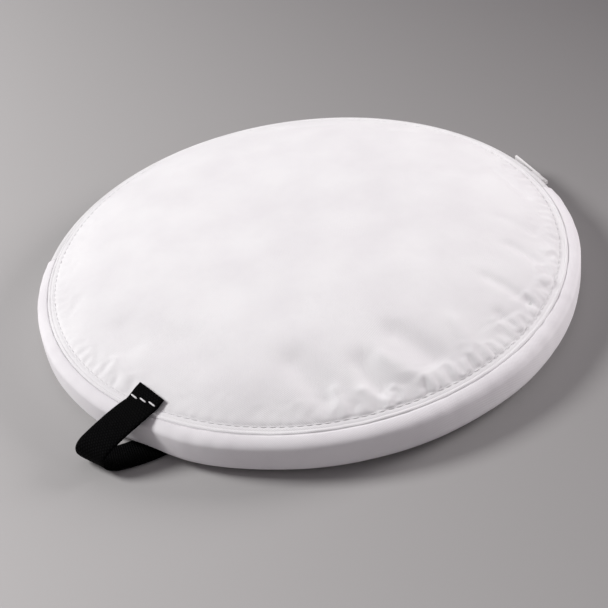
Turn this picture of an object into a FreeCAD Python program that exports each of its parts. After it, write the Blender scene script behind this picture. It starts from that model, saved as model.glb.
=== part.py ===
"""A collapsible backdrop panel folded away in its round zip pouch.

The origin is under the middle of the pouch, on the surface it lies on. +Z is up through the pouch, -Y is
the plain front of the gusset and +Y the side that the zip runs round. Sizes are in millimetres and degrees.
"""
import FreeCAD, Part
import Sketcher
import math
import os
import re
from FreeCAD import Placement, Rotation, Vector

SIZES = {
    # The pouch
    "pouch_radius": 120.0,       # outside of the gusset
    "rim_height": 16.5,          # from the bottom seam to the top seam
    "rim_lift": 1.5,             # from the surface up to the bottom seam
    "fabric_thickness": 1.0,
    "shoulder_radius": 4.0,      # where the gusset curls in to each seam
    "seam_inset": 5.5,           # from the outside of the gusset in to its sewn edge
    "dome_rise": 15.6,           # from the top seam to the crown
    "crown_inset": 42.0,         # from the gusset in to the edge of the nearly flat crown
    "crown_drop": 3.0,           # how far the crown has fallen by that edge
    "belly_inset": 25.0,         # from the gusset in to the flat patch that the pouch rests on
    "lip_width": 1.4,            # the folded edge that stands up along the top seam
    "lip_height": 0.9,
    "cloth_gap": 0.3,            # between pieces of cloth that lie on each other
    "band_half_angle": 102.0,    # half of the plain front of the gusset
    # The threads and the bindings inside the seams
    "stitch_inset": 3.3,         # from the panel's edge in to its row of stitches
    "thread_radius": 0.3,
    "binding_width": 4.6,
    "binding_thickness": 1.2,
    "binding_inset": 3.7,        # from the panel's edge in to the binding
    # The zip
    "tape_half_angle": 82.0,
    "tape_thickness": 0.7,
    "stop_half_angle": 73.0,     # half of the zip's opening, to the middle of each stop
    "stop_length": 2.4,
    "stop_width": 3.6,
    "stop_height": 1.4,
    "coil_radius": 0.6,
    "coil_seat": 0.05,           # between a coil and its tape
    "chain_gap": 1.0,            # between the two coils, where the slider's neck runs
    "slider_length": 9.0,
    "slider_width": 7.0,
    "slider_wall": 1.0,
    "slider_gap": 0.35,          # between the slider and what it slides on
    "neck_width": 0.6,
    "neck_length": 2.0,
    "flange_width": 1.4,
    "bail_length": 6.4,
    "bail_width": 1.6,
    "bail_height": 2.8,
    "bail_wall": 0.8,
    "pull_length": 20.0,
    "pull_width": 5.0,
    "pull_thickness": 1.1,
    "pull_window": 5.8,          # from the pin to the far end of the window in the pull
    "pull_side_gap": 0.3,        # between the bail and the window's sides
    "pull_pin_radius": 0.5,
    "pull_pin_gap": 0.3,         # between the pin and the bail's foot
    # The hang loop
    "webbing_width": 15.0,
    "webbing_thickness": 1.1,
    "webbing_floor_gap": 0.2,
    "webbing_overlap": 8.0,      # how far the loop's end lies in over the top panel
    "loop_reach": 17.0,          # how far the loop stands out from the gusset
    "loop_drop": 5.6,            # from the top seam down to the outer end of the upper leg
    "loop_bend": 3.4,            # radius of the loop's outer corners
    "loop_azimuth": -130.5,
    # The folded hoop
    "hoop_inset": 5.7,           # from the outside of the gusset in to the middle of the hoop
    "hoop_height": 2.3,
    "hoop_thickness": 0.8,
    "turn_gap": 0.1,             # between one turn of the channel and the next
    "crossing_inset": 2.4,       # how far in the hoop passes its other turns
    "crossing_azimuth": 200.0,
    "crossing_span": 60.0,
    "ferrule_azimuth": 300.0,
    "ferrule_length": 14.0,
    "ferrule_wall": 0.3,
    "ferrule_gap": 0.03,
    "hoop_end_gap": 0.4,         # between the hoop's two ends inside the ferrule
    "channel_clearance": 0.4,    # between the hoop and its cloth channel
    "channel_wall": 0.2,
    # The folded cloth of the panel
    "cloth_edge_height": 3.2,    # half of the folded cloth's edge
}

os.makedirs("parts", exist_ok=True)
doc = FreeCAD.newDocument("BackdropPanel")
sheet = doc.addObject("Spreadsheet::Sheet", "Dims")
for row, (name, value) in enumerate(SIZES.items(), start=1):
    sheet.set(f"A{row}", name)
    sheet.set(f"B{row}", str(value))
    sheet.setAlias(f"B{row}", name)
doc.recompute()

# Places worked out from the sizes, as expressions. Heights are above the surface.
BOTTOM_SEAM = "rim_lift"
TOP_SEAM = "(rim_lift + rim_height)"
MIDDLE = "(rim_lift + rim_height / 2)"
CROWN = f"({TOP_SEAM} + dome_rise)"
GUSSET_EDGE = "(pouch_radius - seam_inset)"
PANEL_EDGE = f"({GUSSET_EDGE} - cloth_gap)"
DOME_EDGE = f"({PANEL_EDGE} - lip_width)"
STITCH_RADIUS = f"({PANEL_EDGE} - stitch_inset)"
TAPE_OUTSIDE = "(pouch_radius - fabric_thickness - cloth_gap)"
TAPE_INSIDE = f"({TAPE_OUTSIDE} - tape_thickness)"
COIL_CENTRE = f"({TAPE_OUTSIDE} + coil_seat + coil_radius)"
COIL_OUTSIDE = f"({COIL_CENTRE} + coil_radius)"
PLATE = f"({COIL_OUTSIDE} + slider_gap)"
PLATE_TOP = f"({PLATE} + slider_wall)"
CROWN_REACH = "(pouch_radius - crown_inset)"
BELLY_REACH = "(pouch_radius - belly_inset)"
CHANNEL_HEIGHT = "(hoop_height + 2 * channel_clearance + 2 * channel_wall)"
HOOP_RADIUS = "(pouch_radius - hoop_inset)"
HOOP_PITCH = f"({CHANNEL_HEIGHT} + turn_gap)"
HOOP_BASE = f"({BOTTOM_SEAM} + fabric_thickness + tape_thickness + 2 * cloth_gap)"
CLOTH_RADIUS = (f"({HOOP_RADIUS} - crossing_inset - hoop_thickness / 2"
                " - channel_clearance - channel_wall - cloth_gap)")
PIN_OUT = f"({PLATE_TOP} + (bail_height - bail_wall) / 2)"
PIN_ALONG = "(bail_length / 2 - bail_wall - pull_pin_gap - pull_pin_radius)"
ZIP_AZIMUTH = 90

# The top panel's profile is a wide arc over the crown and a tighter one, tangent to it, down to the seam.
CROWN_ARC = f"(({CROWN_REACH} ^ 2 + crown_drop ^ 2) / (2 * crown_drop))"
EDGE_ACROSS = f"({DOME_EDGE} - {CROWN_REACH})"
EDGE_DROP = "(dome_rise - crown_drop)"
EDGE_TURN = f"(atan({EDGE_DROP} / {EDGE_ACROSS}) - asin({CROWN_REACH} / {CROWN_ARC}))"
EDGE_ARC = f"(sqrt({EDGE_ACROSS} ^ 2 + {EDGE_DROP} ^ 2) / (2 * sin({EDGE_TURN})))"


def bound(text):
    """The expression with each size's name turned into its cell on the sheet."""
    return re.sub(r"[a-z]+(?:_[a-z]+)+", lambda word: f"Dims.{word.group(0)}", str(text))


def number(text):
    """What an expression comes to now."""
    value = sheet.evalExpression(bound(text))
    return float(getattr(value, "Value", value))


def dome_height(radius):
    """The expression for the height of the top panel's outer surface near its edge."""
    share = f"({EDGE_ARC} / {CROWN_ARC})"
    centre_across = f"({CROWN_REACH} * (1 - {share}))"
    centre_up = f"({CROWN} - crown_drop - {share} * ({CROWN_ARC} - crown_drop))"
    return f"({centre_up} + sqrt({EDGE_ARC} ^ 2 - ({radius} - {centre_across}) ^ 2))"


def origin_plane(body, role):
    return next(feature for feature in body.Origin.OriginFeatures if feature.Role == role)


def arc_between(start, end, radius):
    """A sketch arc. A positive radius turns left on the way from start to end, a negative one right."""
    first, last = (start, end) if radius > 0 else (end, start)
    chord = last - first
    reach = math.sqrt(radius ** 2 - (chord.Length / 2) ** 2)
    left = Vector(-chord.y, chord.x, 0).normalize()
    centre = (first + last) * 0.5 + left * reach
    turn_from = math.atan2(first.y - centre.y, first.x - centre.x)
    turn_to = math.atan2(last.y - centre.y, last.x - centre.x)
    return Part.ArcOfCircle(Part.Circle(centre, Vector(0, 0, 1), abs(radius)), turn_from, turn_to)


def closed_sketch(body, name, plane, corners):
    """A closed outline whose corners and arcs are bound to the sheet.

    Each corner is (across, up) or (across, up, radius): radius is that of the arc to the next corner.
    """
    sketch = body.newObject("Sketcher::SketchObject", name)
    sketch.AttachmentSupport = [(origin_plane(body, plane), "")]
    sketch.MapMode = "FlatFace"
    points = [Vector(number(corner[0]), number(corner[1]), 0) for corner in corners]
    count = len(corners)
    ends = []
    for index, corner in enumerate(corners):
        start, end = points[index], points[(index + 1) % count]
        if len(corner) == 3:
            radius = number(corner[2])
            sketch.addGeometry(arc_between(start, end, radius))
            ends.append((1, 2) if radius > 0 else (2, 1))
            magnitude = corner[2] if radius > 0 else f"-({corner[2]})"
            bind(sketch, ("Radius", index), magnitude)
        else:
            sketch.addGeometry(Part.LineSegment(start, end))
            ends.append((1, 2))
    for index, corner in enumerate(corners):
        following = (index + 1) % count
        sketch.addConstraint(
            Sketcher.Constraint("Coincident", index, ends[index][1], following, ends[following][0])
        )
        for kind, axis, place in (("DistanceX", -2, corner[0]), ("DistanceY", -1, corner[1])):
            if place == "0":
                sketch.addConstraint(Sketcher.Constraint("PointOnObject", index, ends[index][0], axis))
            else:
                bind(sketch, (kind, -1, 1, index, ends[index][0]), place)
    return sketch


def bind(sketch, constraint, expression):
    """Adds a dimension to the sketch and ties it to an expression."""
    index = sketch.addConstraint(Sketcher.Constraint(*constraint, number(expression)))
    sketch.setExpression(f"Constraints[{index}]", bound(expression))


def new_body(label, turn="0"):
    """An empty body, turned about the pouch's axis."""
    body = doc.addObject("PartDesign::Body", label)
    body.Label = label
    body.Placement = Placement(Vector(), Rotation(Vector(0, 0, 1), number(turn)))
    body.setExpression("Placement.Rotation.Angle", bound(f"({turn}) * 1deg"))
    return body


def ring(label, corners, sweep="360", middle="0"):
    """A profile turned about the pouch's axis, over the sweep that is centred on one azimuth."""
    body = new_body(label, middle)
    sketch = closed_sketch(body, f"{label}_profile", "XZ_Plane", corners)
    turn = body.newObject("PartDesign::Revolution", f"{label}_turn")
    turn.Profile = sketch
    turn.ReferenceAxis = (sketch, ["V_Axis"])
    turn.Midplane = True
    turn.Angle = number(sweep)
    turn.setExpression("Angle", bound(f"({sweep}) * 1deg"))
    return body


def slab(body, name, along, up, out):
    """A block of a body that faces out along X: its spans along the zip, up, and out from the axis."""
    corners = [(along[0], up[0]), (along[1], up[0]), (along[1], up[1]), (along[0], up[1])]
    sketch = closed_sketch(body, f"{name}_outline", "YZ_Plane", corners)
    sketch.AttachmentOffset = Placement(Vector(0, 0, number(out[0])), Rotation())
    sketch.setExpression("AttachmentOffset.Base.z", bound(out[0]))
    pad = body.newObject("PartDesign::Pad", name)
    pad.Profile = sketch
    pad.Length = number(f"({out[1]}) - ({out[0]})")
    pad.setExpression("Length", bound(f"({out[1]}) - ({out[0]})"))


def place(piece, turn, up):
    """Ties a Part primitive's turn about the pouch's axis and its height to the sheet."""
    piece.Placement = Placement(Vector(0, 0, number(up)), Rotation(Vector(0, 0, 1), number(turn)))
    piece.setExpression("Placement.Base.z", bound(up))
    piece.setExpression("Placement.Rotation.Angle", bound(f"({turn}) * 1deg"))


def thread_ring(label, ring_radius, section, sweep, start, up):
    """A round thread or coil laid along part of a circle."""
    piece = doc.addObject("Part::Torus", label)
    piece.Label = label
    for name, expression in (("Radius1", ring_radius), ("Radius2", section), ("Angle3", sweep)):
        setattr(piece, name, number(expression))
        unit = " * 1deg" if name == "Angle3" else ""
        piece.setExpression(name, bound(f"({expression}){unit}"))
    place(piece, start, up)
    return piece


def finished_feature(label, shape):
    piece = doc.addObject("Part::Feature", label)
    piece.Label = label
    piece.Shape = shape
    return piece


def top_panel():
    """The domed upper disc. Its edge is folded up into a narrow lip along the seam."""
    lip_top = f"{TOP_SEAM} + lip_height - lip_width / 2"
    inside = f"{TOP_SEAM} - fabric_thickness"
    ring("top_panel", [
        ("0", f"{CROWN} - fabric_thickness", f"-{CROWN_ARC}"),
        (CROWN_REACH, f"{CROWN} - crown_drop - fabric_thickness", f"-{EDGE_ARC}"),
        (DOME_EDGE, inside),
        (PANEL_EDGE, inside),
        (PANEL_EDGE, lip_top, "lip_width * 0.55"),
        (DOME_EDGE, lip_top),
        (DOME_EDGE, TOP_SEAM, EDGE_ARC),
        (CROWN_REACH, f"{CROWN} - crown_drop", CROWN_ARC),
        ("0", CROWN),
    ])


def bottom_panel():
    """The lower disc, flat where it rests and rising a little to its seam."""
    ring("bottom_panel", [
        ("0", "0"),
        (BELLY_REACH, "0"),
        (PANEL_EDGE, BOTTOM_SEAM),
        (PANEL_EDGE, f"{BOTTOM_SEAM} + fabric_thickness"),
        (BELLY_REACH, "fabric_thickness"),
        ("0", "fabric_thickness"),
    ])


def gusset_band():
    """The plain front of the rim, one strip that curls in at both edges."""
    bend_in = "(pouch_radius - shoulder_radius)"
    wall_inside = "(pouch_radius - fabric_thickness)"
    inner_bend = "(shoulder_radius - fabric_thickness)"
    low, high = f"({BOTTOM_SEAM} + shoulder_radius)", f"({TOP_SEAM} - shoulder_radius)"
    ring("gusset_band", [
        (GUSSET_EDGE, BOTTOM_SEAM),
        (bend_in, BOTTOM_SEAM, "shoulder_radius"),
        ("pouch_radius", low),
        ("pouch_radius", high, "shoulder_radius"),
        (bend_in, TOP_SEAM),
        (GUSSET_EDGE, TOP_SEAM),
        (GUSSET_EDGE, f"{TOP_SEAM} - fabric_thickness"),
        (bend_in, f"{TOP_SEAM} - fabric_thickness", f"-{inner_bend}"),
        (wall_inside, high),
        (wall_inside, low, f"-{inner_bend}"),
        (bend_in, f"{BOTTOM_SEAM} + fabric_thickness"),
        (GUSSET_EDGE, f"{BOTTOM_SEAM} + fabric_thickness"),
    ], "2 * band_half_angle", "-90")


def zipper_tape(label, side):
    """One tape, from the zip's middle over the shoulder to a seam. side is 1 above and -1 below."""
    bend_in = "(pouch_radius - shoulder_radius)"
    outer = "(shoulder_radius - fabric_thickness - cloth_gap)"
    inner = f"({outer} - tape_thickness)"
    near = f"{MIDDLE} + {side} * chain_gap / 2"
    bend = f"{MIDDLE} + {side} * (rim_height / 2 - shoulder_radius)"
    corners = [
        (TAPE_OUTSIDE, near),
        (TAPE_OUTSIDE, bend, f"{side} * {outer}"),
        (bend_in, f"{bend} + {side} * {outer}"),
        (GUSSET_EDGE, f"{bend} + {side} * {outer}"),
        (GUSSET_EDGE, f"{bend} + {side} * {inner}"),
        (bend_in, f"{bend} + {side} * {inner}", f"-{side} * {inner}"),
        (TAPE_INSIDE, bend),
        (TAPE_INSIDE, near),
    ]
    ring(label, corners, "2 * tape_half_angle", str(ZIP_AZIMUTH))


def zipper_coil(label, side):
    """One side of the chain, as the outer shape of its coil."""
    half = "(stop_half_angle - (stop_length / 2 + cloth_gap) / pouch_radius * 180 / pi)"
    up = f"{MIDDLE} + {side} * (chain_gap / 2 + coil_radius)"
    thread_ring(label, COIL_CENTRE, "coil_radius", f"2 * {half}", f"{ZIP_AZIMUTH} - {half}", up)


def zipper_stop(label, side):
    """A crimped metal stop across both tapes, just past the end of the coils."""
    body = new_body(label, f"{ZIP_AZIMUTH} + {side} * stop_half_angle")
    seat = f"{TAPE_OUTSIDE} + coil_seat"
    slab(body, f"{label}_clamp", ("-stop_length / 2", "stop_length / 2"),
         (f"{MIDDLE} - stop_width / 2", f"{MIDDLE} + stop_width / 2"), (seat, f"{seat} + stop_height"))


def slider_azimuth():
    """Where the closed slider stands: one gap short of the stop."""
    return (f"({ZIP_AZIMUTH} - stop_half_angle"
            " + (stop_length / 2 + slider_gap + slider_length / 2) / pouch_radius * 180 / pi)")


def zipper_slider():
    """Two plates joined by a neck between the coils, with side flanges and a bail for the pull."""
    body = new_body("zipper_slider", slider_azimuth())
    length = ("-slider_length / 2", "slider_length / 2")
    width = (f"{MIDDLE} - slider_width / 2", f"{MIDDLE} + slider_width / 2")
    under = f"({TAPE_INSIDE} - slider_gap)"
    slab(body, "inner_plate", length, width, (f"{under} - slider_wall", under))
    slab(body, "neck", ("0", "neck_length"),
         (f"{MIDDLE} - neck_width / 2", f"{MIDDLE} + neck_width / 2"), (under, PLATE))
    slab(body, "outer_plate", length, width, (PLATE, PLATE_TOP))
    tip = f"{TAPE_OUTSIDE} + slider_gap"
    slab(body, "upper_flange", length, (f"{width[1]} - flange_width", width[1]), (tip, PLATE))
    slab(body, "lower_flange", length, (width[0], f"{width[0]} + flange_width"), (tip, PLATE))
    bail = (f"{MIDDLE} - bail_width / 2", f"{MIDDLE} + bail_width / 2")
    bridge = f"({PLATE_TOP} + bail_height - bail_wall)"
    slab(body, "front_foot", ("-bail_length / 2", "-bail_length / 2 + bail_wall"), bail, (PLATE_TOP, bridge))
    slab(body, "rear_foot", ("bail_length / 2 - bail_wall", "bail_length / 2"), bail, (PLATE_TOP, bridge))
    slab(body, "bridge", ("-bail_length / 2", "bail_length / 2"), bail, (bridge, f"{bridge} + bail_wall"))


def zipper_pull():
    """A flat tab with a long window. The pin across the window's end turns under the bail."""
    body = new_body("zipper_pull", slider_azimuth())
    out = (f"{PIN_OUT} - pull_thickness / 2", f"{PIN_OUT} + pull_thickness / 2")
    far = f"{PIN_ALONG} + pull_length"
    window_end = f"{PIN_ALONG} + pull_window"
    half = "(bail_width / 2 + pull_side_gap)"
    slab(body, "tab", (window_end, far),
         (f"{MIDDLE} - pull_width / 2", f"{MIDDLE} + pull_width / 2"), out)
    start = f"{PIN_ALONG} - pull_pin_radius"
    slab(body, "upper_arm", (start, window_end), (f"{MIDDLE} + {half}", f"{MIDDLE} + pull_width / 2"), out)
    slab(body, "lower_arm", (start, window_end), (f"{MIDDLE} - pull_width / 2", f"{MIDDLE} - {half}"), out)
    pin_out = (f"{PIN_OUT} - pull_pin_radius", f"{PIN_OUT} + pull_pin_radius")
    slab(body, "pin", (start, f"{PIN_ALONG} + pull_pin_radius"),
         (f"{MIDDLE} - {half}", f"{MIDDLE} + {half}"), pin_out)


def seam_stitching():
    """The rows of thread round both panels. The top row leaves out the hang loop's own stitches."""
    clear = "((webbing_width / 2 + 1.5) / pouch_radius * 180 / pi)"
    thread_ring("top_stitching", STITCH_RADIUS, "thread_radius", f"360 - 2 * {clear}",
                f"loop_azimuth + {clear}", f"{dome_height(STITCH_RADIUS)} + thread_radius + coil_seat")
    slope = f"({BOTTOM_SEAM} / ({PANEL_EDGE} - {BELLY_REACH}))"
    under = f"{BOTTOM_SEAM} - {slope} * stitch_inset"
    thread_ring("bottom_stitching", STITCH_RADIUS, "thread_radius", "360", "0",
                f"{under} - thread_radius - coil_seat")


def gusset_end_stitching():
    """The two upright rows that sew the band's ends over the zip's tapes."""
    rows = []
    for side in (-1, 1):
        row = doc.addObject("Part::Cylinder", "end_row")
        row.Radius = number("thread_radius")
        row.setExpression("Radius", bound("thread_radius"))
        height = "(rim_height - 2 * shoulder_radius)"
        row.Height = number(height)
        row.setExpression("Height", bound(height))
        azimuth = f"(-90 + {side} * (band_half_angle - 1.2))"
        out = "(pouch_radius + thread_radius + coil_seat)"
        for axis, share in (("x", "cos"), ("y", "sin")):
            row.setExpression(f"Placement.Base.{axis}", bound(f"{out} * {share}({azimuth} * 1deg)"))
        row.setExpression("Placement.Base.z", bound(f"{BOTTOM_SEAM} + shoulder_radius"))
        rows.append(row)
    both = doc.addObject("Part::Compound", "gusset_end_stitching")
    both.Label = "gusset_end_stitching"
    both.Links = rows


def seam_binding(label, heights):
    """The bound seam allowance that lies along the inside of a panel, as a sloping flat ring."""
    near = f"({PANEL_EDGE} - binding_inset)"
    far = f"({near} - binding_width)"
    low_near, low_far = heights(near), heights(far)
    ring(label, [
        (far, low_far),
        (near, low_near),
        (near, f"{low_near} + binding_thickness"),
        (far, f"{low_far} + binding_thickness"),
    ])


def seam_bindings():
    slope = f"({BOTTOM_SEAM} / ({PANEL_EDGE} - {BELLY_REACH}))"
    drop = "fabric_thickness + cloth_gap + binding_thickness"
    seam_binding("top_seam_binding", lambda radius: f"({dome_height(radius)} - ({drop}))")
    seam_binding("bottom_seam_binding", lambda radius:
                 f"({slope} * ({radius} - {BELLY_REACH}) + fabric_thickness + cloth_gap)")


def rounded_path(points, bends):
    """A path of straight runs joined by arcs that touch them, one bend for each inner point."""
    edges = []
    here = points[0]
    for index, bend in enumerate(bends, start=1):
        corner = points[index]
        back = (points[index - 1] - corner).normalize()
        ahead = (points[index + 1] - corner).normalize()
        half = back.getAngle(ahead) / 2
        cut = bend / math.tan(half)
        middle = (back + ahead).normalize() * (bend / math.sin(half) - bend)
        start, end = corner + back * cut, corner + ahead * cut
        edges.append(Part.LineSegment(here, start).toShape())
        edges.append(Part.Arc(start, corner + middle, end).toShape())
        here = end
    edges.append(Part.LineSegment(here, points[-1]).toShape())
    return Part.Wire(edges)


def loop_points():
    """The middle line of the webbing in the upright plane through the loop, from its upper end."""
    half = number("webbing_thickness") / 2
    rise = number("cloth_gap") + half
    edge = number(PANEL_EDGE)
    start = edge - number("webbing_overlap")
    foot = edge - 1.5 * number("lip_width") - half
    lip_top = number(f"{TOP_SEAM} + lip_height") + rise
    outside = number("pouch_radius + loop_reach") - half
    floor = number("webbing_floor_gap") + half
    return [
        Vector(start, 0, number(dome_height(repr(start))) + rise),
        Vector(foot, 0, number(dome_height(repr(foot))) + rise),
        Vector(edge + half, 0, lip_top),
        Vector(outside - number("loop_bend"), 0, number(f"{TOP_SEAM} - loop_drop")),
        Vector(outside, 0, number(f"{TOP_SEAM} - loop_drop - loop_bend")),
        Vector(outside, 0, floor),
        Vector(edge + 2 * number("cloth_gap") + half, 0, floor),
    ]


def hang_loop():
    """A strap of webbing sewn down on the top panel, out over the lip and back under the rim."""
    bend = number("loop_bend")
    width = number("webbing_width")
    path = rounded_path(loop_points(), [1.2, 1.2, 1.2, bend / 3, bend])
    edge = path.makeOffset2D(number("webbing_thickness") / 2, fill=False)
    side = Part.Face(edge.translated(Vector(0, -width / 2, 0)))
    piece = finished_feature("hang_loop", side.extrude(Vector(0, width, 0)))
    piece.Placement = Placement(Vector(), Rotation(Vector(0, 0, 1), number("loop_azimuth")))


def hang_loop_stitching():
    """The row of thread across the webbing's upper end."""
    start, foot = loop_points()[:2]
    slope = (foot - start).normalize()
    up = Vector(-slope.z, 0, slope.x) * number("webbing_thickness / 2 + thread_radius + coil_seat")
    length = number("webbing_width - 2")
    end = (start + foot) * 0.5 + up - Vector(0, length / 2, 0)
    thread = Part.makeCylinder(number("thread_radius"), length, end, Vector(0, 1, 0))
    piece = finished_feature("hang_loop_stitching", thread)
    piece.Placement = Placement(Vector(), Rotation(Vector(0, 0, 1), number("loop_azimuth")))


def smooth(share):
    """A share from 0 to 1 that starts and stops gently."""
    share = min(max(share, 0.0), 1.0)
    return share * share * (3 - 2 * share)


def band_section(radius, up, azimuth, thickness, height):
    """The upright rectangle of a band, in the plane through the pouch's axis."""
    corners = [(-1, -1), (1, -1), (1, 1), (-1, 1), (-1, -1)]
    wire = Part.makePolygon([
        Vector(radius + across * thickness / 2, 0, up + rise * height / 2) for across, rise in corners
    ])
    wire.rotate(Vector(), Vector(0, 0, 1), azimuth)
    return wire


def folded_band(thickness, height):
    """A band along the folded hoop: three turns on top of each other, closed by one crossing.

    Over the crossing the two lower turns each climb a level, and the top one steps inwards, comes down past
    them and steps out again, so that the three turns are one endless loop.
    """
    radius, pitch = number(HOOP_RADIUS), number(HOOP_PITCH)
    inset, span = number("crossing_inset"), number("crossing_span")
    begin = number("crossing_azimuth")
    lowest = number(f"{HOOP_BASE} + {CHANNEL_HEIGHT} / 2")
    levels = [lowest, lowest + pitch, lowest + 2 * pitch]
    steps = 16
    pieces = []
    for level, up in enumerate(levels):
        section = Part.Face(band_section(radius, up, begin + span, thickness, height))
        pieces.append(section.revolve(Vector(), Vector(0, 0, 1), 360 - span))
        goal = levels[(level + 1) % 3]
        sections = []
        for step in range(steps + 1):
            share = step / steps
            inward = inset * (smooth(share / 0.2) - smooth((share - 0.8) / 0.2)) if level == 2 else 0.0
            height_now = up + (goal - up) * smooth((share - 0.2) / 0.6)
            sections.append(
                band_section(radius - inward, height_now, begin + share * span, thickness, height)
            )
        pieces.append(Part.makeLoft(sections, True, True))
    return pieces[0].multiFuse(pieces[1:])


def hoop():
    """The flat spring-steel hoop, the ferrule over its ends and the cloth channel it runs in."""
    thickness, height = number("hoop_thickness"), number("hoop_height")
    radius, azimuth = number(HOOP_RADIUS), number("ferrule_azimuth")
    middle = number(f"{HOOP_BASE} + {CHANNEL_HEIGHT} / 2 + {HOOP_PITCH}")
    gap = number("hoop_end_gap")
    band = folded_band(thickness, height)
    slot = Part.makeBox(4 * thickness, gap, 1.2 * height,
                        Vector(radius - 2 * thickness, -gap / 2, middle - 0.6 * height))
    slot.rotate(Vector(), Vector(0, 0, 1), azimuth)
    finished_feature("hoop_band", band.cut(slot))

    length = number("ferrule_length") / radius * 180 / math.pi
    rings = []
    for grow in (2 * number("ferrule_gap"), 2 * number("ferrule_gap + ferrule_wall")):
        section = band_section(radius, middle, azimuth - length / 2, thickness + grow, height + grow)
        rings.append(Part.Face(section).revolve(Vector(), Vector(0, 0, 1), length))
    finished_feature("hoop_ferrule", rings[1].cut(rings[0]))

    room = 2 * number("channel_clearance")
    wall = 2 * number("channel_wall")
    outside = folded_band(thickness + room + wall, height + room + wall)
    finished_feature("hoop_channel", outside.cut(folded_band(thickness + room, height + room)))


def folded_cloth():
    """The panel's two faces of cloth, each crumpled into one half of the space inside the hoop."""
    half_gap = "cloth_gap / 2"
    under_crown = f"{CROWN} - fabric_thickness - cloth_gap"
    ring("panel_front_cloth", [
        ("0", f"{MIDDLE} + {half_gap}"),
        (CLOTH_RADIUS, f"{MIDDLE} + {half_gap}"),
        (CLOTH_RADIUS, f"{MIDDLE} + cloth_edge_height"),
        (CROWN_REACH, f"{under_crown} - crown_drop", CROWN_ARC),
        ("0", under_crown),
    ])
    ring("panel_back_cloth", [
        ("0", "fabric_thickness + cloth_gap"),
        (BELLY_REACH, "fabric_thickness + cloth_gap"),
        (CLOTH_RADIUS, f"{MIDDLE} - cloth_edge_height"),
        (CLOTH_RADIUS, f"{MIDDLE} - {half_gap}"),
        ("0", f"{MIDDLE} - {half_gap}"),
    ])


def save():
    """Checks every object, then writes each sub-part to a file of its own."""
    for item in doc.Objects:
        if "Invalid" in item.State or "Error" in item.State:
            raise RuntimeError(f"{item.Label} failed: {item.State}")
    pieces = [item for item in doc.Objects if item.TypeId in
              ("PartDesign::Body", "Part::Torus", "Part::Compound", "Part::Feature")]
    for piece in pieces:
        if piece.Shape.isNull() or not piece.Shape.isValid() or not piece.Shape.Solids:
            raise RuntimeError(f"{piece.Label} has no valid solid")
    for piece in pieces:
        box = piece.Shape.BoundBox
        print(f"{piece.Label:22s} solids {len(piece.Shape.Solids)} volume {piece.Shape.Volume:10.1f}"
              f" z {box.ZMin:6.2f} to {box.ZMax:6.2f}")
        piece.Shape.exportStep(f"parts/{piece.Label}.step")


top_panel()
bottom_panel()
gusset_band()
zipper_tape("zipper_tape_upper", 1)
zipper_tape("zipper_tape_lower", -1)
zipper_coil("zipper_coil_upper", 1)
zipper_coil("zipper_coil_lower", -1)
zipper_stop("zipper_stop_closed", -1)
zipper_stop("zipper_stop_open", 1)
zipper_slider()
zipper_pull()
seam_stitching()
gusset_end_stitching()
seam_bindings()
hang_loop()
hang_loop_stitching()
hoop()
folded_cloth()
doc.recompute()
save()
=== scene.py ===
"""The looks of a collapsible backdrop panel that is folded away in its round zip pouch.

All sizes are in metres. The pouch lies on z = 0 with its axis on Z, its plain front towards -Y and its zip
round the +Y side. An azimuth is an angle about Z, from +X towards +Y. Every piece that is made here rides on
the pouch. The slider and the pull keep their CAD shape, and so move with their own bodies.
"""
import math

import bmesh
import bpy
import numpy as np
from mathutils import Matrix, Vector


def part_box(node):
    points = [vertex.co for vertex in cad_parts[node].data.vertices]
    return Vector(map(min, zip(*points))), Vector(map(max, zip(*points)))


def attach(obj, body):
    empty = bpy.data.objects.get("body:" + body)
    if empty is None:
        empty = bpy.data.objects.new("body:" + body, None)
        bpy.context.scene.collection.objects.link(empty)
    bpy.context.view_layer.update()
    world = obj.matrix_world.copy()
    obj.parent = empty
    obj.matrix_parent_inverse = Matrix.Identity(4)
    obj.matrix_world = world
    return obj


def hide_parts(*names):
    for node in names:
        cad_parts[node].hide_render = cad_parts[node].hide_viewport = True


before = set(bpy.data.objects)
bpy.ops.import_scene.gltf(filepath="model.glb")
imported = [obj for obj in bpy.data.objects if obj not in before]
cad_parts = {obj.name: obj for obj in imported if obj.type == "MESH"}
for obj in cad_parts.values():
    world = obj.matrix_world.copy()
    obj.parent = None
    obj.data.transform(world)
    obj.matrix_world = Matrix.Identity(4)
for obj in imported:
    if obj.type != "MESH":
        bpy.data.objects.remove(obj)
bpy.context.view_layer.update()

MM = 0.001
TURN = 2 * math.pi
GATHER_SEED, PUCKER_SEED, PANEL_SEED, UNDERSIDE_SEED = 11, 5, 23, 31

# Places read from the frame
band_low, band_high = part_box("gusset_band")
RADIUS = -band_low.y
BOTTOM_SEAM, TOP_SEAM = band_low.z, band_high.z
MIDDLE = (BOTTOM_SEAM + TOP_SEAM) / 2
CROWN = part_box("top_panel")[1].z
PANEL_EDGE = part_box("top_panel")[1].x
STITCH_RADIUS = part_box("top_stitching")[1].x - 0.3 * MM  # less half of the CAD's thread
COIL_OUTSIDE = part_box("zipper_coil_upper")[1].y
TAPE_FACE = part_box("zipper_tape_upper")[1].y

# Azimuths, and how far the pieces of the rim reach to each side of the front or of the zip's middle
FRONT, ZIP, LOOP_AZIMUTH = -math.pi / 2, math.pi / 2, math.radians(-130.5)
GUSSET_HALF_ANGLE, TAPE_HALF_ANGLE = math.radians(102), math.radians(82)
COIL_HALF_ANGLE = math.radians(72.28)

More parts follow.
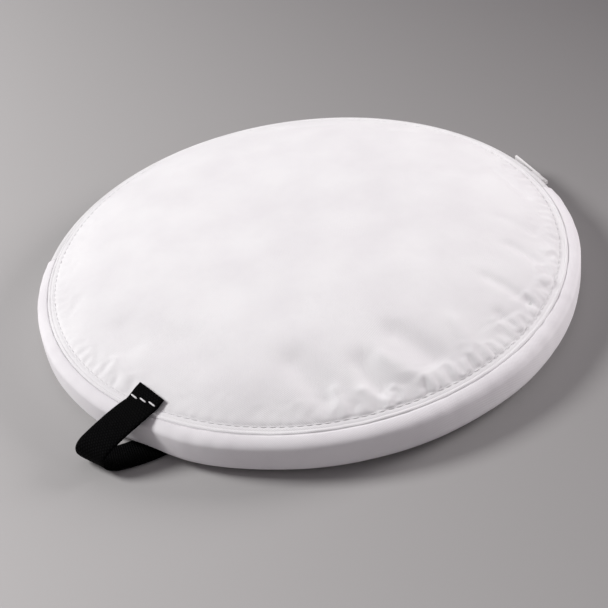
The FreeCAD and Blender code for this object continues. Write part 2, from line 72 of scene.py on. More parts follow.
# Cloth, thread and webbing
CLOTH, TAPE_CLOTH = 0.8 * MM, 0.55 * MM
SHOULDER_ACROSS, SHOULDER_UP, SHOULDER_DOWN = 6.3 * MM, 3.7 * MM, 4.9 * MM
LIP_WIDTH, LIP_HEIGHT = 1.2 * MM, 0.45 * MM
STITCH_PITCH, STITCH_LENGTH, THREAD_RADIUS = 3.5 * MM, 2.7 * MM, 0.26 * MM
WEBBING_WIDTH, WEBBING_THICKNESS = 15 * MM, 1.1 * MM
WARP_PITCH, RIB_PITCH = 0.75 * MM, 0.95 * MM

POLE = 0.6 * MM  # the innermost ring of a panel's grid


# ---------------------------------------------------------------- numbers
def around(count):
    """Azimuths spread evenly over a full turn."""
    return np.arange(count) * TURN / count


def polar(radius, azimuth, up):
    """Points from arrays of radius, azimuth and height."""
    radius, azimuth, up = np.broadcast_arrays(radius, azimuth, up)
    return np.stack([radius * np.cos(azimuth), radius * np.sin(azimuth), up], axis=-1)


def turned(azimuth, centre):
    """The angle from centre to azimuth, between -pi and pi."""
    return (azimuth - centre + math.pi) % TURN - math.pi


def bell(distance):
    """1 in the middle, and about a third at a distance of 1."""
    return np.exp(-distance ** 2)


def ramp(value, low, high):
    """0 below low, 1 above high, smooth between."""
    share = np.clip((value - low) / (high - low), 0.0, 1.0)
    return share * share * (3 - 2 * share)


def unit(vectors):
    """Each row of an array, scaled to a length of 1."""
    return vectors / np.linalg.norm(vectors, axis=1)[:, None]


# ---------------------------------------------------------------- mesh helpers
def put_in_scene(name, data):
    """A new object that shows a mesh, a lamp or a camera."""
    thing = bpy.data.objects.new(name, data)
    bpy.context.collection.objects.link(thing)
    return thing


def grid_mesh(name, points, closed=False, uv=None, flip=False):
    """A sheet of quads through points[row][column]. closed joins the last column to the first.

    uv gives each point's place on the flat cloth, in metres. flip turns the faces over.
    """
    rows, columns = points.shape[:2]
    row, column = np.meshgrid(np.arange(rows - 1), np.arange(columns if closed else columns - 1),
                              indexing="ij")
    after = (column + 1) % columns
    order = [3, 2, 1, 0] if flip else [0, 1, 2, 3]
    quads = np.stack([row * columns + column, row * columns + after, (row + 1) * columns + after,
                      (row + 1) * columns + column], axis=-1)[..., order].reshape(-1, 4)
    mesh = bpy.data.meshes.new(name)
    mesh.from_pydata(points.reshape(-1, 3).tolist(), [], quads.tolist())
    if uv is not None:
        corners = np.stack([uv[row, column], uv[row, column + 1], uv[row + 1, column + 1],
                            uv[row + 1, column]], axis=2)[:, :, order].reshape(-1, 2)
        mesh.uv_layers.new(name="cloth").data.foreach_set("uv", corners.ravel())
    mesh.shade_smooth()
    return put_in_scene(name, mesh)


def flat_places(u, v):
    """Places on the flat cloth. A closed grid has one more column of them than of points."""
    return np.stack(np.broadcast_arrays(u, v), axis=-1)


def flat_disc(rings, columns):
    """The places of a closed polar grid that is laid out flat."""
    return polar(rings[:, None], np.append(around(columns), TURN)[None, :], 0.0)[..., :2]


def add_faces(piece, extra_points, extra_faces, extra_uv):
    """Rebuilds a piece's mesh with more points and faces. extra_uv has a place for each new corner."""
    mesh = piece.data
    points = [vertex.co[:] for vertex in mesh.vertices] + extra_points
    faces = [tuple(polygon.vertices) for polygon in mesh.polygons] + extra_faces
    corners = np.empty(len(mesh.loops) * 2)
    mesh.uv_layers["cloth"].data.foreach_get("uv", corners)
    rebuilt = bpy.data.meshes.new(mesh.name)
    rebuilt.from_pydata(points, [], faces)
    rebuilt.uv_layers.new(name="cloth").data.foreach_set("uv", np.append(corners, extra_uv))
    rebuilt.shade_smooth()
    piece.data = rebuilt


def close_pole(piece, columns, facing_up):
    """Fills the small hole at a polar grid's middle with a fan of triangles."""
    places = {index: piece.data.vertices[index].co[:] for index in range(columns)}
    centre = tuple(np.mean(list(places.values()), axis=0))
    middle = len(piece.data.vertices)
    places[middle] = centre
    fan = [(index, (index + 1) % columns, middle) for index in range(columns)]
    if not facing_up:
        fan = [tuple(reversed(face)) for face in fan]
    fan_uv = [value for face in fan for corner in face for value in places[corner][:2]]
    add_faces(piece, [centre], fan, fan_uv)


def cap_ends(piece, columns, rows):
    """Closes the two ends of a grid that is closed round its columns."""
    first = tuple(reversed(range(columns)))
    last = tuple((rows - 1) * columns + index for index in range(columns))
    add_faces(piece, [], [first, last], np.zeros(2 * (len(first) + len(last))))
    face_outwards(piece)


def face_outwards(piece):
    """Turns every face of a closed mesh to look out of it."""
    work = bmesh.new()
    work.from_mesh(piece.data)
    bmesh.ops.recalc_face_normals(work, faces=work.faces)
    work.to_mesh(piece.data)
    work.free()


def thicken(piece, thickness):
    """Gives a sheet its cloth's thickness, on the side away from its normals."""
    solid = piece.modifiers.new("thickness", "SOLIDIFY")
    solid.thickness = thickness
    solid.offset = -1.0
    bpy.context.view_layer.objects.active = piece
    for other in bpy.context.selected_objects:
        other.select_set(False)
    piece.select_set(True)
    bpy.ops.object.modifier_apply(modifier=solid.name)


def capsules(name, centres, along, outward, length, radius):
    """One mesh of many short threads, each a round-ended rod along its own direction."""
    sides = 8
    stations = [(-0.5, 0.3), (-0.44, 0.75), (-0.3, 1.0), (0.3, 1.0), (0.44, 0.75), (0.5, 0.3)]
    template = np.array([
        [share * length, radius * width * math.cos(angle), radius * width * math.sin(angle)]
        for share, width in stations for angle in around(sides)
    ])
    faces = []
    for ring in range(len(stations) - 1):
        for side in range(sides):
            ahead = (side + 1) % sides
            faces.append((ring * sides + side, ring * sides + ahead,
                          (ring + 1) * sides + ahead, (ring + 1) * sides + side))
    faces.append(tuple(reversed(range(sides))))
    last = (len(stations) - 1) * sides
    faces.append(tuple(range(last, last + sides)))
    points, polygons = [], []
    for centre, forward, normal in zip(centres, along, outward):
        aside = np.cross(normal, forward)
        start = len(points)
        points.extend((centre + template[:, :1] * forward + template[:, 1:2] * aside
                       + template[:, 2:] * normal).tolist())
        polygons.extend(tuple(start + corner for corner in face) for face in faces)
    mesh = bpy.data.meshes.new(name)
    mesh.from_pydata(points, [], polygons)
    mesh.shade_smooth()
    piece = put_in_scene(name, mesh)
    face_outwards(piece)
    return piece


# ---------------------------------------------------------------- materials
class Nodes:
    """Short names for building one node material."""

    def __init__(self, name, **shader):
        """A new material. The keywords are the shader's plain values, with _ for a space."""
        self.material = bpy.data.materials.new(name)
        self.material.use_nodes = True
        self.tree = self.material.node_tree
        self.shader = self.tree.nodes["Principled BSDF"]
        for socket, value in shader.items():
            self.shader.inputs[socket.replace("_", " ")].default_value = value

    def add(self, kind, **settings):
        """A new node. Each setting is a property of it, or else one of its sockets."""
        node = self.tree.nodes.new(kind)
        for key, value in settings.items():
            if hasattr(node, key):
                setattr(node, key, value)
            else:
                node.inputs[key.replace("_", " ")].default_value = value
        return node

    def link(self, source, target):
        """Joins an output to an input."""
        self.tree.links.new(source, target)

    def shade(self, socket, source):
        """Links something to one of the shader's sockets."""
        self.link(source, self.shader.inputs[socket])

    def math(self, operation, first, second=None):
        """The result of a math node. Each operand is a number or an output."""
        node = self.add("ShaderNodeMath", operation=operation)
        for index, value in enumerate((first, second)):
            if value is None:
                continue
            if isinstance(value, (int, float)):
                node.inputs[index].default_value = value
            else:
                self.link(value, node.inputs[index])
        return node.outputs[0]

    def noise(self, scale, detail, roughness=0.5):
        """Noise in the piece's own space, with about scale blotches in a metre."""
        node = self.add("ShaderNodeTexNoise", Scale=scale, Detail=detail, Roughness=roughness)
        self.link(self.add("ShaderNodeTexCoord").outputs["Object"], node.inputs["Vector"])
        return node.outputs["Fac"]

    def colours(self, factor, low, high, start=0.35, end=0.65):
        """A blend from the colour low, where factor is at start, to the colour high, where it is at end."""
        blend = self.add("ShaderNodeValToRGB")
        blend.color_ramp.elements[0].position = start
        blend.color_ramp.elements[1].position = end
        blend.color_ramp.elements[0].color = (*low, 1)
        blend.color_ramp.elements[1].color = (*high, 1)
        self.link(factor, blend.inputs["Fac"])
        return blend.outputs["Color"]

    def span(self, factor, low, high):
        """A factor from 0 to 1, stretched to run from low to high."""
        node = self.add("ShaderNodeMapRange", To_Min=low, To_Max=high)
        self.link(factor, node.inputs["Value"])
        return node.outputs["Result"]

    def bump(self, height, distance, below=None):
        """The normal of a relief. below is the normal of a coarser relief that it lies on."""
        node = self.add("ShaderNodeBump", Distance=distance, Strength=1.0)
        self.link(height, node.inputs["Height"])
        if below is not None:
            self.link(below, node.inputs["Normal"])
        return node.outputs["Normal"]

    def waves(self, pitch_across, pitch_along):
        """Sines across and along the cloth's own threads, from its flat layout."""
        flat = self.add("ShaderNodeUVMap", uv_map="cloth")
        split = self.add("ShaderNodeSeparateXYZ")
        self.link(flat.outputs[0], split.inputs[0])
        return [self.math("SINE", self.math("MULTIPLY", split.outputs[axis], math.pi / pitch))
                for axis, pitch in ((0, pitch_across), (1, pitch_along))]


def woven(name, low, high, pitch=0.45 * MM, depth=0.03 * MM, crumple=0.10 * MM):
    """Plain-woven cloth: over-and-under threads, a soft crumple and slight unevenness of its colour."""
    nodes = Nodes(name, Sheen_Weight=0.12, Sheen_Roughness=0.5, Specular_IOR_Level=0.25)
    across, along = nodes.waves(pitch, pitch)
    weave = nodes.math("MULTIPLY", across, along)
    crumpled = nodes.bump(nodes.noise(140, 4), crumple)
    fuzzy = nodes.bump(nodes.noise(900, 2), 0.02 * MM, below=crumpled)
    nodes.shade("Normal", nodes.bump(weave, depth, below=fuzzy))
    nodes.shade("Base Color", nodes.colours(nodes.noise(38, 5), low, high))
    nodes.shade("Roughness", nodes.span(nodes.noise(260, 3), 0.62, 0.8))
    return nodes.material


def webbing_material():
    """Black webbing: ribs across the strap, a finer warp along it, and a painted highlight that makes both a
    little lighter on top, with painted shade in the hollows.
    """
    nodes = Nodes("black_webbing", Specular_IOR_Level=0.03)
    across, along = nodes.waves(WARP_PITCH, RIB_PITCH)
    weave = nodes.math("MULTIPLY", across, along)
    ribs = nodes.math("ADD", nodes.math("MULTIPLY", weave, 0.6), nodes.math("ABSOLUTE", along))
    fuzzy = nodes.bump(nodes.noise(700, 3), 0.05 * MM)
    nodes.shade("Normal", nodes.bump(ribs, 0.14 * MM, below=fuzzy))
    # painted highlight and shade: the base colour follows the relief, lighter on the rib tops and darker in
    # the hollows
    low, high = (0.0003, 0.0003, 0.0004), (0.0014, 0.0014, 0.0016)
    nodes.shade("Base Color", nodes.colours(ribs, low, high, start=0.1, end=0.95))
    nodes.shade("Roughness", nodes.span(nodes.noise(500, 2), 0.55, 0.8))
    return nodes.material


def thread_material():
    """Twisted white sewing thread."""
    nodes = Nodes("white_thread", Sheen_Weight=0.2, Specular_IOR_Level=0.35)
    fuzz = nodes.noise(2600, 3)
    nodes.shade("Normal", nodes.bump(fuzz, 0.06 * MM))
    nodes.shade("Base Color", nodes.colours(fuzz, (0.66, 0.65, 0.66), (0.84, 0.83, 0.84)))
    nodes.shade("Roughness", nodes.span(fuzz, 0.5, 0.75))
    return nodes.material


def metal_material(name, low, high):
    """Bare metal with fine scratches and an uneven colour."""
    nodes = Nodes(name, Metallic=1.0)
    scratch = nodes.noise(1400, 6, roughness=0.7)
    nodes.shade("Normal", nodes.bump(scratch, 0.02 * MM))
    nodes.shade("Base Color", nodes.colours(nodes.noise(330, 4), low, high))
    nodes.shade("Roughness", nodes.span(scratch, 0.3, 0.5))
    return nodes.material


def enamel_material():
    """White lacquer over cast metal, rubbed thin in small patches."""
    nodes = Nodes("white_enamel", Specular_IOR_Level=0.5, Coat_Weight=0.3, Coat_Roughness=0.2)
    rub = nodes.noise(420, 5, roughness=0.65)
    lacquer, rubbed = (0.80, 0.79, 0.79), (0.45, 0.44, 0.43)
    nodes.shade("Normal", nodes.bump(nodes.noise(1500, 4), 0.015 * MM))
    nodes.shade("Base Color", nodes.colours(rub, lacquer, rubbed, start=0.66, end=0.78))
    nodes.shade("Roughness", nodes.span(rub, 0.22, 0.5))
    return nodes.material


def nylon_material():
    """Glossy moulded nylon of the zip's coils."""
    nodes = Nodes("zip_nylon", Specular_IOR_Level=0.5)
    mottle = nodes.noise(900, 3)
    nodes.shade("Normal", nodes.bump(mottle, 0.02 * MM))
    nodes.shade("Base Color", nodes.colours(mottle, (0.70, 0.70, 0.69), (0.80, 0.80, 0.79)))
    nodes.shade("Roughness", nodes.span(mottle, 0.28, 0.45))
    return nodes.material


def floor_material():
    """Matt paper with a painted light falloff: its colour grows lighter from the right to the left, as the
    lamps' light would make it.
    """
    nodes = Nodes("floor_paper", Roughness=0.9, Specular_IOR_Level=0.1)
    place = nodes.add("ShaderNodeSeparateXYZ")
    nodes.link(nodes.add("ShaderNodeTexCoord").outputs["Object"], place.inputs[0])
    # painted light: a colour gradient across the floor that stands in for the lamps' falloff, lightest
    # towards -X and -Y
    lighter_x, lighter_y, change_per_metre, at_the_pouch = -0.932, -0.362, 1.667, 0.5
    painted_falloff = nodes.math("ADD", nodes.math("MULTIPLY", place.outputs[0], lighter_x),
                       nodes.math("MULTIPLY", place.outputs[1], lighter_y))
    painted_falloff = nodes.math("ADD", nodes.math("MULTIPLY", painted_falloff, change_per_metre), at_the_pouch)
    dark, light = (0.146, 0.140, 0.142), (0.56, 0.55, 0.545)
    nodes.shade("Base Color", nodes.colours(nodes.span(painted_falloff, 0.0, 1.0), dark, light, start=0.0, end=1.0))
    return nodes.material


MATERIALS = {
    "panel": woven("white_cloth", (0.80, 0.785, 0.80), (0.85, 0.84, 0.85)),
    "gusset": woven("white_gusset", (0.79, 0.765, 0.79), (0.84, 0.82, 0.84), crumple=0.08 * MM),
    "tape": woven("zip_tape", (0.74, 0.73, 0.74), (0.80, 0.79, 0.80), pitch=0.6 * MM, depth=0.09 * MM),
    "binding": woven("binding_tape", (0.66, 0.66, 0.66), (0.74, 0.74, 0.74), pitch=0.7 * MM),
    "front": woven("front_cloth", (0.70, 0.70, 0.70), (0.78, 0.78, 0.78)),
    "back": woven("back_cloth", (0.26, 0.26, 0.27), (0.32, 0.32, 0.33)),
    "channel": woven("channel_cloth", (0.012, 0.012, 0.013), (0.03, 0.03, 0.033), pitch=0.8 * MM),
    "thread": thread_material(),
    "webbing": webbing_material(),
    "nylon": nylon_material(),
    "enamel": enamel_material(),
    "steel": metal_material("spring_steel", (0.10, 0.10, 0.11), (0.20, 0.20, 0.21)),
    "ferrule": metal_material("ferrule_alloy", (0.58, 0.58, 0.59), (0.70, 0.70, 0.71)),
}

# The material of each node that keeps its CAD shape
CAD_MATERIALS = {
    "zipper_slider": "enamel", "zipper_pull": "enamel", "zipper_stop_closed": "enamel",
    "zipper_stop_open": "enamel", "hoop_band": "steel", "hoop_ferrule": "ferrule",
    "hoop_channel": "channel", "top_seam_binding": "binding", "bottom_seam_binding": "binding",
}


def dress(piece, material):
    """Gives a piece one material, in place of any that it has."""
    piece.data.materials.clear()
    piece.data.materials.append(MATERIALS[material])


def dress_cad_nodes():
    """Gives the nodes that keep their CAD shape their materials, and changes nothing else."""
    for node, material in CAD_MATERIALS.items():
        dress(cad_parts[node], material)


# ---------------------------------------------------------------- the gathers along the top seam
# Where the top seam is gathered: the azimuth and the spread in degrees, and how strongly
GATHERED_PLACES = [
    (-66, 17, 0.95), (-30, 20, 0.7), (-147, 9, 0.4), (8, 18, 0.4), (60, 34, 0.3), (172, 20, 0.22),
]
GATHERED_EVERYWHERE = 0.05

ENLARGED = 20  # the cloth solver's settings suit cloth that is metres wide
SETTLING_FRAMES = 26
SPARE_CLOTH = 0.055  # how much the loosest cloth grows, as a share of its length
RING_START, FINE_RINGS_FROM = 80 * MM, 97 * MM
SLOW_SWINGS, SWELLING_TAKEN_OFF = 22, 0.9


def pillow(radius):
    """The smooth height of the filled panel."""
    return TOP_SEAM + (CROWN - TOP_SEAM) * (1 - np.clip(radius / (PANEL_EDGE - 0.5 * MM), 0, 1) ** 4)


def gather_strength(azimuth):
    """How strongly the panel is gathered along its seam, by azimuth in degrees."""
    strength = GATHERED_EVERYWHERE
    for centre, width, extra in GATHERED_PLACES:
        strength = strength + extra * bell(((azimuth - centre + 180) % 360 - 180) / width)
    return strength


def wander(azimuth, low, high, rng):
    """A random wave round the ring, of roughly unit height, with between low and high swings in a turn."""
    waves = 12
    total = 0 * azimuth
    for _ in range(waves):
        total = total + np.sin(rng.integers(low, high) * azimuth + rng.uniform(0, TURN))
    return total / math.sqrt(waves)


def rippled(radius, turn, rng):
    """The pillow's height with tiny random ripples on it, from which the buckles start."""
    waves, wave_height = 30, 0.01 * MM
    height = pillow(radius)
    for _ in range(waves):
        count, phase, slope = rng.integers(20, 130), rng.uniform(0, TURN), rng.uniform(20, 300)
        height = height + wave_height * np.sin(count * turn + phase + slope * radius)
    return height


def looseness(radius, azimuth, rng):
    """The share of the spare cloth that each point of the ring gets: none inside, and most near the seam."""
    unevenness, loose_from, wobble, blend = 0.45, 103 * MM, 2.5 * MM, 5 * MM
    share = gather_strength(np.degrees(azimuth)) * (1 + unevenness * wander(azimuth, 12, 45, rng))
    inner_edge = loose_from + wobble * wander(azimuth, 8, 60, rng)
    return ramp(radius, inner_edge, inner_edge + blend) * np.clip(share, 0, 1)[None, :]


def grip(radius):
    """How firmly each point is held: by the filling well inside, hardly near the seam, fast at both edges."""
    on_filling, lost_near_seam, fast = 0.35, 0.335, 1.0
    hold = on_filling - lost_near_seam * ramp(radius, 92 * MM, 105 * MM)
    hold[[0, -1]] = fast
    return hold


def weigh(ring, name, weights):
    """A vertex group with a weight for each point."""
    group = ring.vertex_groups.new(name=name)
    for index, weight in enumerate(weights.ravel()):
        group.add([index], float(weight), "REPLACE")


def settle(ring):
    """Runs the cloth solver on a ring, removes the ring and returns where its points came to rest."""
    modifier = ring.modifiers.new("cloth", "CLOTH")
    modifier.point_cache.frame_start, modifier.point_cache.frame_end = 1, SETTLING_FRAMES
    modifier.collision_settings.use_collision = False
    cloth = modifier.settings
    cloth.vertex_group_mass, cloth.vertex_group_shrink = "held", "tight"
    cloth.shrink_min, cloth.shrink_max = -SPARE_CLOTH, 0.0
    cloth.bending_stiffness, cloth.air_damping = 0.15, 2
    cloth.tension_damping = cloth.compression_damping = 10
    cloth.effector_weights.gravity = 0
    scene = bpy.context.scene
    for frame_number in range(1, SETTLING_FRAMES + 1):
        scene.frame_set(frame_number)
    settled = ring.evaluated_get(bpy.context.evaluated_depsgraph_get())
    ends = np.empty(3 * len(ring.data.vertices))
    settled.data.vertices.foreach_get("co", ends)
    bpy.data.objects.remove(ring)
    scene.frame_set(1)
    return ends


def slow_part(moved, swings):
    """The part of a ring's movement that varies slower than this many swings in a turn."""
    waves = np.fft.rfft(moved, axis=1)
    waves[:, swings:] = 0
    return np.fft.irfft(waves, n=moved.shape[1], axis=1)


def seam_gathers(columns):
    """A cloth simulation of the ring just inside the stitches, whose spare cloth buckles into gathers.

    Returns the ring's radii and how far each point moved, with most of the slow swelling taken off.
    """
    rng = np.random.default_rng(GATHER_SEED)
    rings = np.concatenate([np.linspace(RING_START, FINE_RINGS_FROM, 8, endpoint=False),
                            np.linspace(FINE_RINGS_FROM, STITCH_RADIUS, 19)])
    azimuth = around(columns)
    radius, turn = np.meshgrid(rings, azimuth, indexing="ij")
    sewn = radius >= STITCH_RADIUS - 0.1 * MM
    height = np.where(sewn, pillow(radius), rippled(radius, turn, rng))
    start = polar(radius, turn, height) * ENLARGED
    ring = grid_mesh("gathers", start, closed=True)
    weigh(ring, "held", grip(radius))
    weigh(ring, "tight", 1 - looseness(radius, azimuth, rng))
    moved = (settle(ring).reshape(start.shape) - start) / ENLARGED
    return rings, moved - SWELLING_TAKEN_OFF * slow_part(moved, SLOW_SWINGS)


def between_rings(rings, values, radius):
    """Catmull-Rom values between rings, for each wanted radius. Outside the rings there is nothing."""
    place = np.interp(radius, rings, np.arange(len(rings)))
    low = np.clip(place.astype(int), 0, len(rings) - 2)
    share = (place - low)[:, None, None]
    before, after = np.clip(low - 1, 0, None), np.clip(low + 2, None, len(rings) - 1)
    a, b, c, d = values[before], values[low], values[low + 1], values[after]
    curve = b + 0.5 * share * (c - a + share * (2 * a - 5 * b + 4 * c - d + share * (3 * (b - c) + d - a)))
    inside = (radius >= rings[0]) & (radius <= rings[-1])
    return curve * inside[:, None, None]


# ---------------------------------------------------------------- the top panel
# The panel's larger folds: where each starts and ends, its depth and its width. A place is a radius in
# millimetres and an azimuth in degrees, read off the photograph and rounded. A ridge has a negative depth.
FOLDS = [
    ((90, -151), (93, -143), 1.3, 6), ((82, -132), (88, -121), 1.2, 8),
    ((85, -97), (100, -90), 1.9, 6), ((90, -80), (103, -78), 2.0, 5),
    ((82, -68), (98, -64), 1.9, 5.5), ((99, -88), (110, -87), -1.1, 2.5),
    ((102, -82), (111, -79), -1.1, 3), ((91, -75), (109, -68), -1.1, 4),
    ((90, -53), (108, -56), -0.8, 3.5), ((100, -43), (109, -45), 0.8, 2.5),
    ((87, -34), (106, -35), 1.0, 3), ((90, -18), (108, -22), 1.0, 3),
    ((87, -6), (99, -10), 0.6, 3), ((97, 20), (102, 7), 0.8, 3), ((75, 24), (88, 17), 0.9, 5),
    ((94, 61), (99, 53), 0.9, 3.5), ((97, 92), (95, 77), 0.9, 3.5), ((88, 122), (89, 141), -2.6, 24),
    ((100, 163), (106, 165), 0.5, 3), ((100, -170), (106, -168), 0.5, 3),
    ((102, -143), (106, -137), -0.6, 2.5),
]


# The soft waves over the whole panel: how many, their length and their height
PANEL_WAVES = [(7, 70 * MM, 0.35 * MM), (9, 24 * MM, 0.10 * MM)]


def fold(x, y, start, end, depth, width):
    """A soft hollow along the line between two places, or a ridge, as FOLDS gives it."""
    (ax, ay), (bx, by) = ((r * MM * math.cos(math.radians(a)), r * MM * math.sin(math.radians(a)))
                          for r, a in (start, end))
    across, up = bx - ax, by - ay
    share = np.clip(((x - ax) * across + (y - ay) * up) / (across ** 2 + up ** 2), 0, 1)
    distance = np.hypot(x - ax - share * across, y - ay - share * up)
    return -depth * MM * bell(distance / (width * MM))


def broad_undulations(x, y, count, wavelength, height, rng):
    """A sum of long soft waves in random directions."""
    total = np.zeros(np.broadcast(x, y).shape)
    for _ in range(count):
        heading = rng.uniform(0, TURN)
        length = wavelength * rng.uniform(0.7, 1.5)
        phase = rng.uniform(0, TURN)
        total += np.sin(TURN * (x * math.cos(heading) + y * math.sin(heading)) / length + phase)
    return total * height / math.sqrt(count)


def sewn_groove(radius, azimuth):
    """How deep the stitches draw the cloth down, a little more under each of them."""
    depth, extra, width = 0.42 * MM, 0.12 * MM, 0.9 * MM
    stitch = np.cos(TURN * azimuth * STITCH_RADIUS / STITCH_PITCH)
    return (depth + extra * stitch) * bell((radius - STITCH_RADIUS) / width)


def folded_lip(radius, azimuth):
    """The height of the thin uneven lip along the panel's edge."""
    uneven = 1 + 0.16 * np.sin(23 * azimuth + 1.0) + 0.12 * np.sin(61 * azimuth)
    from_middle = (radius - (PANEL_EDGE - LIP_WIDTH / 2)) / (LIP_WIDTH / 2)
    return LIP_HEIGHT * uneven * np.clip(1 - from_middle ** 2, 0, 1) ** 0.5


def top_height(radius, azimuth):
    """The top panel's outer surface before it is gathered: a pillow with folds, a sewn groove and a lip."""
    rng = np.random.default_rng(PANEL_SEED)
    inside = 1 - ramp(radius, STITCH_RADIUS - 9 * MM, STITCH_RADIUS - 0.5 * MM)
    left_at_seam = 0.25
    x, y = radius * np.cos(azimuth), radius * np.sin(azimuth)
    height = pillow(radius)
    for count, wavelength, wave_height in PANEL_WAVES:
        height = height + broad_undulations(x, y, count, wavelength, wave_height, rng) * inside
    for line in FOLDS:
        height = height + fold(x, y, *line) * (left_at_seam + (1 - left_at_seam) * inside)
    return height - sewn_groove(radius, azimuth) + folded_lip(radius, azimuth)


def build_top_panel():
    """The gathered top panel. Its last row tucks the edge down into the seam."""
    columns = 720
    azimuth = around(columns)[None, :]
    groove_start = STITCH_RADIUS - 1.2 * MM
    rings = np.concatenate([
        np.linspace(POLE, 60 * MM, 10, endpoint=False),
        np.linspace(60 * MM, 96 * MM, 17, endpoint=False),
        np.linspace(96 * MM, groove_start, 20, endpoint=False),
        np.linspace(groove_start, PANEL_EDGE, 18),
    ])
    points = polar(rings[:, None], azimuth, top_height(rings[:, None], azimuth))
    points = points + between_rings(*seam_gathers(columns), rings)
    tuck = polar(PANEL_EDGE + 0.1 * MM, azimuth, TOP_SEAM - 0.8 * MM)
    piece = grid_mesh("top_panel_cloth", np.concatenate([points, tuck]), closed=True,
                      uv=flat_disc(np.append(rings, PANEL_EDGE + 1 * MM), columns), flip=True)
    close_pole(piece, columns, facing_up=True)
    thicken(piece, CLOTH)
    dress(piece, "panel")
    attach(piece, "pouch")
    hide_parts("top_panel")


# ---------------------------------------------------------------- the bottom panel
def bottom_height(radius, azimuth):
    """The underside: it rests on the table, lifts here and there, and rises puckered to its seam."""
    rng = np.random.default_rng(UNDERSIDE_SEED)
    x, y = radius * np.cos(azimuth), radius * np.sin(azimuth)
    rise = BOTTOM_SEAM * ramp(radius, RADIUS - 30 * MM, PANEL_EDGE + 4 * MM)
    lifted = np.abs(broad_undulations(x, y, count=8, wavelength=40 * MM, height=0.25 * MM, rng=rng))
    pucker_height, puckers = 0.14 * MM, 150
    pucker = pucker_height * (1 + np.sin(puckers * azimuth + 3 * np.sin(7 * azimuth)))
    puckered = ramp(radius, 92 * MM, 110 * MM) * (1 - ramp(radius, 112 * MM, 114 * MM))
    return rise + lifted * (1 - ramp(radius, 60 * MM, 108 * MM)) + pucker * puckered


def build_bottom_panel():
    """The plain underside, on which the pouch rests."""
    columns = 480
    azimuth = around(columns)[None, :]
    rings = np.concatenate([np.linspace(POLE, 90 * MM, 26, endpoint=False),
                            np.linspace(90 * MM, PANEL_EDGE, 30)])
    points = polar(rings[:, None], azimuth, bottom_height(rings[:, None], azimuth))
    piece = grid_mesh("bottom_panel_cloth", points, closed=True, uv=flat_disc(rings, columns))
    close_pole(piece, columns, facing_up=False)
    thicken(piece, CLOTH)
    dress(piece, "panel")
    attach(piece, "pouch")
    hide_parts("bottom_panel")


# ---------------------------------------------------------------- the rim
def rim_profile():
    """The gusset's outer profile from the top seam down to the bottom one: radii and heights."""
    steps = 12
    wall_top, wall_bottom = TOP_SEAM - SHOULDER_UP, BOTTOM_SEAM + SHOULDER_DOWN
    turn = np.linspace(math.pi / 2, 0, steps)
    wall = np.linspace(wall_top, wall_bottom, steps)[1:-1]
    shoulder = RADIUS - SHOULDER_ACROSS * (1 - np.cos(turn))
    radius = np.concatenate([shoulder, np.full(len(wall), RADIUS), shoulder[::-1]])
    height = np.concatenate([wall_top + SHOULDER_UP * np.sin(turn), wall,
                             wall_bottom - SHOULDER_DOWN * np.sin(turn[::-1])])
    keep = radius > PANEL_EDGE + 0.05 * MM
    lean_in = 0.35 * MM * (np.clip(np.abs(height - MIDDLE) / (TOP_SEAM - MIDDLE), 0, 1) ** 2)
    return radius[keep] - lean_in[keep], height[keep]


def gusset_ripple(azimuth):
    """Small uneven puckers round the rim, from the seam's gathers."""
    waves, pucker_height = 26, 0.11 * MM
    total = np.zeros_like(azimuth)
    rng = np.random.default_rng(PUCKER_SEED)
    for _ in range(waves):
        count = rng.integers(20, 95)
        total = total + np.sin(count * azimuth + rng.uniform(0, TURN))
    return total / math.sqrt(waves) * pucker_height


def rim_sheet(name, profile, middle, half_angle, columns, ripple, end_tuck=0.0):
    """A strip of cloth round the rim, from its profile's radii and heights. Returns the profile's length too.

    It reaches half_angle to each side of middle. ripple scales its unevenness, and end_tuck draws its two
    ends in. The hang loop draws it in as well.
    """
    start, end = middle - half_angle, middle + half_angle
    radius, height = profile
    azimuth, up = np.linspace(start, end, columns)[None, :], height[:, None]
    slack = ramp(radius, PANEL_EDGE, RADIUS - 2 * MM)[:, None]
    swing = (0.16 * np.sin(5 * azimuth + 0.7) + 0.14 * np.sin(9 * azimuth + 2.1)
             + 0.08 * np.sin(17 * azimuth + 4)) * MM
    upper = ramp(up, MIDDLE, TOP_SEAM - 1 * MM)
    pucker = gusset_ripple(azimuth) * (0.3 + 0.7 * upper)
    near_end = 1 - ramp(np.minimum(azimuth - start, end - azimuth), 0, math.radians(5))
    at_loop = bell(turned(azimuth, LOOP_AZIMUTH + math.radians(3)) / math.radians(6))
    everywhere, by_loop = 0.2 * MM, 1.5 * MM
    inward = everywhere + end_tuck * near_end + by_loop * at_loop
    radial = radius[:, None] + ripple * (slack * (swing - inward) + 0.5 * pucker)
    points = polar(radial, azimuth, up + ripple * 0.45 * pucker * upper)
    along_profile = np.concatenate([[0], np.cumsum(np.hypot(np.diff(radius), np.diff(height)))])
    uv = flat_places(azimuth * RADIUS, along_profile[:, None])
    return grid_mesh(name, points, uv=uv, flip=True), along_profile[-1]


def build_gusset():
    """The plain strip of cloth round the pouch's front and sides."""
    piece, width = rim_sheet("gusset_cloth", rim_profile(), FRONT, GUSSET_HALF_ANGLE, columns=640,
                             ripple=1.0, end_tuck=0.35 * MM)
    thicken(piece, CLOTH)
    dress(piece, "gusset")
    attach(piece, "pouch")
    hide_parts("gusset_band")


